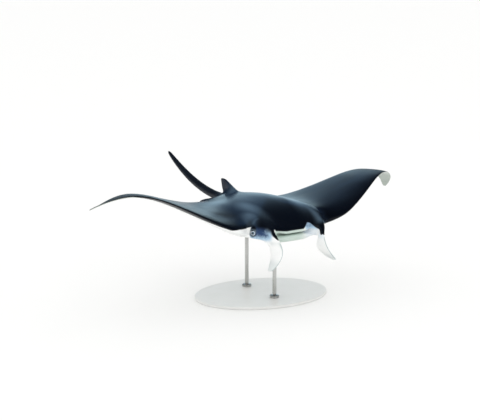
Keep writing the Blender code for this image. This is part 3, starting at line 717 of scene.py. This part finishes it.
MARKINGS = {  # a marking is the strongest of its zones at each point
    "dusk": {
        "back_rim": (1, ("out", smooth, 0.45, 0.9), ("share", smooth, 0.72, 0.97)),
        "below_tip": (1, ("out", smooth, 0.45, 0.9), ("out", smooth, 1.25, 1.62)),
    },
    # black: the dark band along the right wing's root and the tail's own black, with painted shade
    # on the head's front slope, along the wings' front edges, on the wing tips, in the dip by the
    # right wing's root, in the creases behind the eyes and at the tail's root
    "black": {
        "head_slope": (1, ("ahead", smooth, -0.035, 0.05), ("out", smooth, 0.45, 0.39)),
        "front_edge_left": (1, ("x", smooth, 0.38, 0.48), ("front", power, 1)),
        "front_edge_right": (1, ("x", smooth, -0.45, -0.60), ("front", power, 2.5)),
        "wing_tips": (0.6, ("out", smooth, 1.15, 1.60)),
        "tail": (0.75, ("y", smooth, 0.70, 0.88)),
        "hollow_flank": (0.6, *HOLLOW_FLANK),
        "crease_shadow": (
            1, ("y", bell, -0.415, 0.018), ("z", bell, 0.826, 0.026),
            ("out", between, 0.36, 0.43, 0.02),
        ),
        "root_band": (
            1, ("above_line", smooth, 0.050, 0.015), ("x", between, -0.72, -0.39, 0.03),
            ("y", smooth, -0.34, -0.38),
        ),
    },
    # painted sheen: paler patches on the flanks, temple, haunches and along the middle of the back,
    # and painted highlights along the head's crest and in the fold behind the eye
    "painted_sheen": {
        "flank_left": (
            1, ("x", bell, 0.265, 0.075), ("y", bell, -0.16, 0.20), ("level", smooth, 0.5, 0.8),
        ),
        "flank_right": (
            0.75, ("x", bell, -0.265, 0.075), ("y", bell, -0.16, 0.20), ("level", smooth, 0.5, 0.8),
        ),
        "haunches": (
            0.75, ("out", bell, 0.33, 0.13), ("y", bell, 0.26, 0.22), ("level", smooth, 0.5, 0.8),
        ),
        "head_crest": (
            0.45, ("x", bell, 0.278, 0.036), ("y", between, -0.58, -0.15, 0.05),
            ("level", smooth, 0.2, 0.5),
        ),
        "middle": (0.6, ("out", smooth, 0.36, 0.16), ("y", bell, 0.05, 0.20)),
        "keel": (0.5, ("x", bell, 0.0, 0.08), ("y", bell, 0.50, 0.07)),
        "temple": (
            0.55, ("x", bell, -0.355, 0.06), ("y", bell, -0.35, 0.09), ("level", smooth, 0.1, 0.4),
        ),
        "fold_behind_eye": (
            0.4, ("y", bell, -0.449, 0.014), ("z", between, 0.825, 0.855, 0.030),
            ("out", between, 0.33, 0.40, 0.02),
        ),
    },
    "dull": {
        "wing_tips": (1, ("out", smooth, 1.15, 1.5)),
        "tail": (1, ("y", smooth, 0.60, 0.68)),
        "hollow_flank": (0.9, *HOLLOW_FLANK),
    },
    "lips": {
        "lips": (
            1, ("y", smooth, -0.46, -0.54), ("x", smooth, 0.17, 0.03), ("x", smooth, -0.25, -0.22),
            ("z", smooth, 0.58, 0.65),
        ),
    },
    "spotted": {
        "belly": (
            1, ("level", smooth, -0.5, -0.8), ("from_belly", smooth, 0.50, 0.40),
            ("y", smooth, -0.16, -0.06),
        ),
    },
}
CREST_FRONT, CREST_SLOPE = -0.077, 1.09  # the V across the crest where the front slope's painted shade starts
BELLY_MIDDLE, BELLY_SQUEEZE = (0.05, 0.16), 1.6  # of the spotted oval: (distance out, y) and shape
PATCH_HALF_WIDTH, PATCH_UP, PATCH_DOWN = 0.034, 0.066, 0.037  # arch of slate skin round an eye
PATCH_BESIDE = (0.05, 0.03)  # distances sideways from the eye's centre at which it fades
PATCH_EDGE = (1.15, 0.85)  # shares of the way to the arch's edge between which it comes in
LID_HEIGHTS = (0.050, 0.015)  # above the eye, from the dark of the head to the lid's slate


def edge_shares(places):
    """For each point, its share of the way from the front edge of the disc to the back edge."""
    x, y = np.abs(places[:, 0]), places[:, 1]
    bins = np.linspace(DISC_START, x.max() + MM, DISC_BINS)
    slot = np.clip(np.digitize(x, bins), 1, len(bins) - 1)
    front, back = np.full(len(bins), np.inf), np.full(len(bins), -np.inf)
    np.minimum.at(front, slot, y)
    np.maximum.at(back, slot, y)
    return (y - front[slot]) / (back[slot] - front[slot] + TINY)


def dark_line(x, y):
    """Height at which the head's dark top ends: above the lips, over the cheek, down the front of
    a head fin as a wedge, and along the root of the wing."""
    lips = np.interp(x, *zip(*LIP_LINE))
    cheek = np.interp(y, *zip(*CHEEK_LINE))
    beside = smooth(*LIPS_TO_CHEEK, np.abs(x))
    behind_cheek = np.maximum(smooth(*CHEEK_BACK, y), smooth(*WING_START, x))
    at = {"x": x, "y": y, "behind_cheek": behind_cheek}
    steps = sum(zone(at, *step) for step in LINE_STEPS.values())
    line = lips * (1 - beside) + cheek * beside + steps
    return np.where(x < -ROOT_START, np.interp(-x, *zip(*ROOT_LINE)), line)


def eye_patches(places):
    """The arch of slate skin round each eye, and how far it is the lid's own tone."""
    patch, lid = np.zeros(len(places)), np.zeros(len(places))
    for centre in EYES:
        x, y, z = (places - centre).T
        beside = smooth(*PATCH_BESIDE, np.abs(x))
        reach = np.hypot(y / PATCH_HALF_WIDTH, z / np.where(z > 0, PATCH_UP, PATCH_DOWN))
        patch = np.maximum(patch, beside * smooth(*PATCH_EDGE, reach))
        lid = np.maximum(lid, beside * smooth(*LID_HEIGHTS, z))
    return patch, lid


def store_markings(mesh):
    """The fields that the skin's colours follow, from places on the animal."""
    places, normals = places_of(mesh), normals_of(mesh)
    x, y, z = places.T
    out = np.abs(x)
    share = edge_shares(places)
    line = dark_line(x, y)
    at = {
        "x": x, "y": y, "z": z, "out": out, "share": share,
        "level": normals[:, 2],
        "facing": normals[:, 1],
        "front": smooth(*FRONT_FADE, share),
        "ahead": CREST_FRONT - CREST_SLOPE * out - y,
        "above_line": z - line,
        "from_belly": np.hypot((out - BELLY_MIDDLE[0]) * BELLY_SQUEEZE, y - BELLY_MIDDLE[1]),
    }
    mask = {name: zone(at, *rows) for name, rows in MASKS.items()}
    for name, zones in MARKINGS.items():
        store(mesh, name, np.maximum.reduce([zone(at, *rows) for rows in zones.values()]))

    # Dark above and pale below: by height over the dark line on the head, by slope elsewhere.
    by_height = (z - line) / (LINE_HEIGHT + CHEEK_FADE * mask["cheek"])
    reach = np.interp(out, *zip(*MARGIN))
    wrapped = np.maximum(mask["wrapped_root"], mask["wrapped_front"])
    wrapped += MARGIN_WRAP * smooth(reach + MARGIN_SOFT, reach, share)
    over_under = (at["level"] + wrapped) * (1 - mask["head"]) + by_height * mask["head"]
    # the stern's dark all round is painted shade
    store(mesh, "over_under", over_under * (1 - mask["stern"]) + mask["stern"])

    # Blue where the dark top fades out on the cheeks, and a painted reflection in blue inside the
    # left head fin's root.
    cheek = mask["cheek"] * mask["cheek_blue"] * (1 - mask["cheek_front"])
    inside = mask["inside_left_fin"] * (mask["fin_root_reflection_low"] + mask["fin_root_reflection_high"])
    store(mesh, "blue", np.maximum(cheek, inside))

    fin_edge = np.clip(mask["fin_front"] + mask["fin_tip"], 0, 1)
    store(mesh, "fin_shade", mask["head_fin"] * fin_edge)
    patch, lid = eye_patches(places)
    store(mesh, "eye_patch", patch)
    store(mesh, "eyelid", lid)


class MANTA_OT_skin(bpy.types.Operator):
    """Lay one smooth skin over the body, with its gill slits and its markings"""

    bl_idname = "manta.skin"
    bl_label = "Body skin"

    def execute(self, context):
        shape = context.scene.manta_shape
        skin = joined_skin(FLESH, shape)
        refine_eyes(skin, shape)
        refine_gills(skin, shape)
        store_markings(skin.data)
        raise_eyelids(skin.data, shape)
        open_gills(skin.data, shape)
        skin.data.shade_smooth()
        skin.data.materials.clear()
        skin.data.materials.append(skin_material(context.scene.manta_colours))
        finish_piece(skin, "wet_skin", *FLESH)
        return {"FINISHED"}


# ---------------------------------------------------------------- eyes
GAZE = (0.85, -0.50, 0.14)  # the way an eye looks: outwards, forwards and a little up
EYE_SEGMENTS, EYE_RINGS = 48, 32


class MANTA_OT_eyes(bpy.types.Operator):
    """Set a glass eye in each socket"""

    bl_idname = "manta.eyes"
    bl_label = "Eyes"

    def execute(self, context):
        finish = eye_material(context.scene.manta_colours)
        for name, side in SIDES.items():
            node = f"eye_{name}"
            gaze = Vector((GAZE[0] * side, *GAZE[1:])).normalized()
            deselect()
            bpy.ops.mesh.primitive_uv_sphere_add(
                segments=EYE_SEGMENTS, ring_count=EYE_RINGS, radius=EYE_RADIUS,
                location=centre_of(node), rotation=gaze.to_track_quat("Z", "Y").to_euler(),
            )
            eye = added(f"glass_{node}")
            along = (places_of(eye.data) - np.array(centre_of(node))) @ np.array(gaze)
            store(eye.data, "from_gaze", np.arccos(np.clip(along / EYE_RADIUS, -1, 1)))
            eye.data.shade_smooth()
            eye.data.materials.append(finish)
            finish_piece(eye, "eye", node)
        return {"FINISHED"}


# ---------------------------------------------------------------- stand
PLATE_SIDES, COLLAR_SIDES, ROD_SIDES, SCREW_SIDES = 192, 96, 64, 24
RIM_CUTS, RIM_PROFILE = 4, 0.5  # every rim is a quarter round of four facets
BAR_RIM = 1.5 * MM  # radius of a rod's and a gasket's rims
PLATE_BORDER, PLATE_STEP = 30 * MM, 1.2 * MM  # the rim's flat border, and the step inside it
PLATE_RING = 200 * MM  # a ring of faces inside the step
SCREW_HEIGHT, SCREW_RIM = 0.8, 0.12  # these and the socket's are shares of the head's radius
SOCKET_INSET, SOCKET_LIMIT = 0.30, 0.62  # flat left round the socket, and how far out it reaches
SOCKET_FLAT, SOCKET_DEPTH = 0.5, 0.55  # from the axis to a flat side, and how deep it is
GASKET_LIP = BAR_RIM + 0.1 * MM  # points this close to the cup's top are its lip
GASKET_SEARCH = 50 * MM  # the belly is looked for from this far under the cup's top
GASKET_PRESS = 1 * MM  # how far the gasket's lip goes into the belly


def rim_edges(mesh, *heights):
    """Flags the edges that lie level at one of the heights."""
    z = places_of(mesh)[read(mesh.edges, "vertices", 2, int)][:, :, 2]
    return np.any([np.all(np.abs(z - height) < LEVEL_WITHIN, axis=1) for height in heights], axis=0)


def level_faces(mesh, height):
    """Flags the faces that lie level at that height."""
    near = np.abs(places_of(mesh)[:, 2] - height) < LEVEL_WITHIN
    return np.array([np.all(near[list(face.vertices)]) for face in mesh.polygons])


def turned(name, radius, low, high, middle, segments, bevel):
    """A round bar or disc from low to high on an upright axis, its rims rounded."""
    deselect()
    bpy.ops.mesh.primitive_cylinder_add(
        vertices=segments, radius=radius, depth=high - low,
        location=(middle[0], middle[1], (low + high) / 2),
    )
    piece = added(name)
    edit(piece, "EDGE", rim_edges(piece.data, low, high))
    bpy.ops.mesh.bevel(offset=bevel, segments=RIM_CUTS, profile=RIM_PROFILE)
    leave_edit()
    return piece


def dress(piece, finish, slot, *nodes):
    """Gives a stand piece its material and its shading, and rides it on the frame."""
    only(piece)
    bpy.ops.object.shade_smooth_by_angle(angle=SHADE_ANGLE)
    piece.data.materials.clear()
    piece.data.materials.append(finish)
    finish_piece(piece, slot, *nodes)


def upright(node, name, segments, bevel):
    """A turned piece in the place of an upright round node."""
    low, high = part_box(node)
    radius = (high.x - low.x) / 2
    return turned(name, radius, low.z, high.z, (low + high) / 2, segments, bevel)


def base_plate(shape):
    """The oval plate: a turned disc drawn out to the oval, with a step down inside its rim."""
    width, depth, high = size_of("stand_base")
    plate = upright("stand_base", "base_plate", PLATE_SIDES, shape.plate_bevel)
    edit(plate, "FACE", level_faces(plate.data, high))
    bpy.ops.mesh.inset(thickness=PLATE_BORDER)
    bpy.ops.mesh.inset(thickness=PLATE_STEP, depth=-PLATE_STEP)
    bpy.ops.mesh.inset(thickness=PLATE_RING)
    bpy.ops.mesh.select_all(action="SELECT")
    bpy.ops.transform.resize(value=(1, depth / width, 1), center_override=centre_of("stand_base"))
    leave_edit()
    return plate


def screw(middle, radius):
    """A socket-head screw that stands on middle: a round head with a hexagon sunk in its top."""
    top = middle.z + SCREW_HEIGHT * radius
    head = turned("collar_screw", radius, middle.z, top, middle, SCREW_SIDES, SCREW_RIM * radius)
    edit(head, "FACE", level_faces(head.data, top))
    bpy.ops.mesh.inset(thickness=SOCKET_INSET * radius)
    leave_edit()
    places = places_of(head.data)
    offsets = places[:, :2] - np.array(middle)[:2]
    around = np.arctan2(offsets[:, 1], offsets[:, 0])
    inner = np.hypot(*offsets.T) < SOCKET_LIMIT * radius
    inner &= np.abs(places[:, 2] - top) < LEVEL_WITHIN
    hexagon = SOCKET_FLAT * radius / np.cos(np.mod(around, math.pi / 3) - math.pi / 6)
    ring = np.column_stack([hexagon * np.cos(around), hexagon * np.sin(around)])
    places[inner, :2] = np.array(middle)[:2] + ring[inner]
    move_points(head.data, places)
    edit(head, "FACE", [bool(np.all(inner[list(face.vertices)])) for face in head.data.polygons])
    bpy.ops.mesh.inset(thickness=0.0, depth=-SOCKET_DEPTH * radius)
    leave_edit()
    return head


def collar_screws(collar, name, finish, shape):
    """Screws evenly round the top of a collar: one is modelled, and the others are its copies."""
    low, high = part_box(collar)
    middle = Vector(((low.x + high.x) / 2, (low.y + high.y) / 2, high.z))
    for place in range(shape.screw_count):
        turn = 2 * math.pi * (place + 0.5) / shape.screw_count
        spot = middle + Vector((math.cos(turn), math.sin(turn), 0)) * shape.screw_circle
        if place == 0:
            first, first_spot = screw(spot, shape.screw), spot
            head = first
        else:
            head = first.copy()
            head.data = first.data.copy()
            bpy.context.collection.objects.link(head)
            move_points(head.data, places_of(first.data) + np.array(spot - first_spot))
        head.name = head.data.name = f"{name}_{place + 1}"
        dress(head, finish, "brushed_steel")


def gasket(name, rod, belly, shape):
    """A rubber cup on the top of a rod, its lip pressed up against the belly."""
    low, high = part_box(rod)
    middle, radius = (low + high) / 2, (high.x - low.x) / 2 + shape.gasket_wall
    cup = turned(name, radius, high.z - shape.gasket_height, high.z, middle, ROD_SIDES, BAR_RIM)
    edit(cup, "FACE", level_faces(cup.data, high.z))
    bpy.ops.mesh.inset(thickness=shape.gasket_wall)
    leave_edit()
    places = places_of(cup.data)
    for index in np.flatnonzero(places[:, 2] > high.z - GASKET_LIP):
        start = Vector(places[index]) - Vector((0, 0, GASKET_SEARCH))
        hit = belly.ray_cast(start, Vector((0, 0, 1)))[0]
        if hit is None:
            raise RuntimeError(f"no belly over {rod} for {name} to press against")
        places[index, 2] += hit.z - high.z + GASKET_PRESS
    move_points(cup.data, places)
    return cup


class MANTA_OT_stand(bpy.types.Operator):
    """Build the oval base plate, the two rods, their collars and their gaskets"""

    bl_idname = "manta.stand"
    bl_label = "Display stand"

    def execute(self, context):
        shape, colours = context.scene.manta_shape, context.scene.manta_colours
        steel, rubber = steel_material(colours), rubber_material(colours)
        skin = bpy.data.objects["body_skin"]
        belly = BVHTree.FromObject(skin, context.evaluated_depsgraph_get())
        dress(base_plate(shape), coat_material(colours), "powder_coat", "stand_base")
        for end in RODS:
            rod, collar = f"stand_rod_{end}", f"stand_collar_{end}"
            bar = upright(rod, f"rod_{end}", ROD_SIDES, BAR_RIM)
            dress(bar, steel, "brushed_steel", rod)
            ring = upright(collar, f"collar_{end}", COLLAR_SIDES, shape.collar_bevel)
            dress(ring, steel, "brushed_steel", collar)
            dress(gasket(f"gasket_{end}", rod, belly, shape), rubber, None)
            collar_screws(collar, f"collar_screw_{end}", steel, shape)
        return {"FINISHED"}


# ---------------------------------------------------------------- stage
ROOM_LIGHT = (1.14, 1.14, 1.14, 1)  # light that falls on everything
ROOM_DARK = (0.012, 0.018, 0.030, 1)  # mirrored by the gloss, in front and overhead
ROOM_BRIGHT = (0.92, 1.30, 1.50, 1)  # mirrored by the gloss, low on the far side
ROOM_EDGE = 0.915  # cosine of the angle from the brightest place at which the room is dark
ROOM_TILT = 0.04  # how far the brightest place stands above level, in radians
FLOOR_SIDES = 96
SENSOR_WIDTH = 36  # in mm, as the lens is


def direction(azimuth, elevation):
    """Unit vector from the animal that way: azimuth 0 is in front of its face."""
    level = math.cos(elevation)
    return Vector((math.sin(azimuth) * level, -math.cos(azimuth) * level, math.sin(elevation)))


def studio_world(brightest):
    """Even white light all round. What the gloss mirrors is a darker room, brightest low down on
    its far side, so that the skin's sheen runs from pale at low angles to black on the slopes."""
    world = bpy.data.worlds.new("studio_room")
    bpy.context.scene.world = world
    world.use_nodes = True
    tree = world.node_tree
    way = add(tree, "TexCoord", {}, "Generated")
    towards = add(tree, "VectorMath", (way, brightest), "Value", operation="DOT_PRODUCT")
    nearness = add(tree, "MapRange", (towards, ROOM_EDGE, 1.0), **SMOOTH_STEP)
    room = add(tree, "Mix", {0: nearness, 6: ROOM_DARK, 7: ROOM_BRIGHT}, **COLOUR_MIX)
    glossy = add(tree, "LightPath", {}, "Is Glossy Ray")
    shown = add(tree, "Mix", {0: glossy, 6: ROOM_LIGHT, 7: room}, **COLOUR_MIX)
    plug(tree, tree.nodes["Background"], {"Color": shown, "Strength": 1.0})


class MANTA_OT_stage(bpy.types.Operator):
    """Lay the pale floor and set up the studio light and the camera"""

    bl_idname = "manta.stage"
    bl_label = "Studio"

    def execute(self, context):
        stage = context.scene.manta_stage
        deselect()
        bpy.ops.mesh.primitive_circle_add(
            vertices=FLOOR_SIDES, radius=stage.floor_radius, fill_type="NGON", location=(0, 0, -MM)
        )
        floor = added("studio_floor")
        floor.data.materials.append(floor_material(stage))
        studio_world(-direction(stage.azimuth, -ROOM_TILT))
        back = direction(stage.azimuth, stage.elevation)
        bpy.ops.object.camera_add(location=Vector(stage.target) + back * stage.distance)
        camera = bpy.context.object
        camera.name = "studio_camera"
        camera.rotation_euler = (-back).to_track_quat("-Z", "Y").to_euler()
        camera.data.lens = stage.lens
        camera.data.sensor_width = SENSOR_WIDTH
        camera.data.clip_end = 3 * stage.floor_radius
        context.scene.camera = camera
        context.scene.view_settings.view_transform = "Standard"
        return {"FINISHED"}


# ---------------------------------------------------------------- panel and registration
OPERATORS = (MANTA_OT_skin, MANTA_OT_eyes, MANTA_OT_stand, MANTA_OT_stage)
SETTINGS = {"manta_shape": MantaShape, "manta_colours": MantaColours, "manta_stage": MantaStage}


class MANTA_PT_panel(bpy.types.Panel):
    """The model's settings, and a button for each step"""

    bl_label = "Manta Ray"
    bl_idname = "MANTA_PT_panel"
    bl_space_type = "VIEW_3D"
    bl_region_type = "UI"
    bl_category = "Manta Ray"

    def draw(self, context):
        for name in SETTINGS:
            group, box = getattr(context.scene, name), self.layout.box()
            for setting in group.__annotations__:
                box.prop(group, setting)
        for operator in OPERATORS:
            self.layout.operator(operator.bl_idname)


CLASSES = (*SETTINGS.values(), *OPERATORS, MANTA_PT_panel)


def register():
    for made in CLASSES:
        bpy.utils.register_class(made)
    for name, group in SETTINGS.items():
        setattr(bpy.types.Scene, name, PointerProperty(type=group))


def unregister():
    for name in SETTINGS:
        delattr(bpy.types.Scene, name)
    for made in reversed(CLASSES):
        bpy.utils.unregister_class(made)


def main():
    register()
    bpy.ops.manta.skin()
    bpy.ops.manta.eyes()
    bpy.ops.manta.stand()
    bpy.ops.manta.stage()


if __name__ == "__main__":
    main()
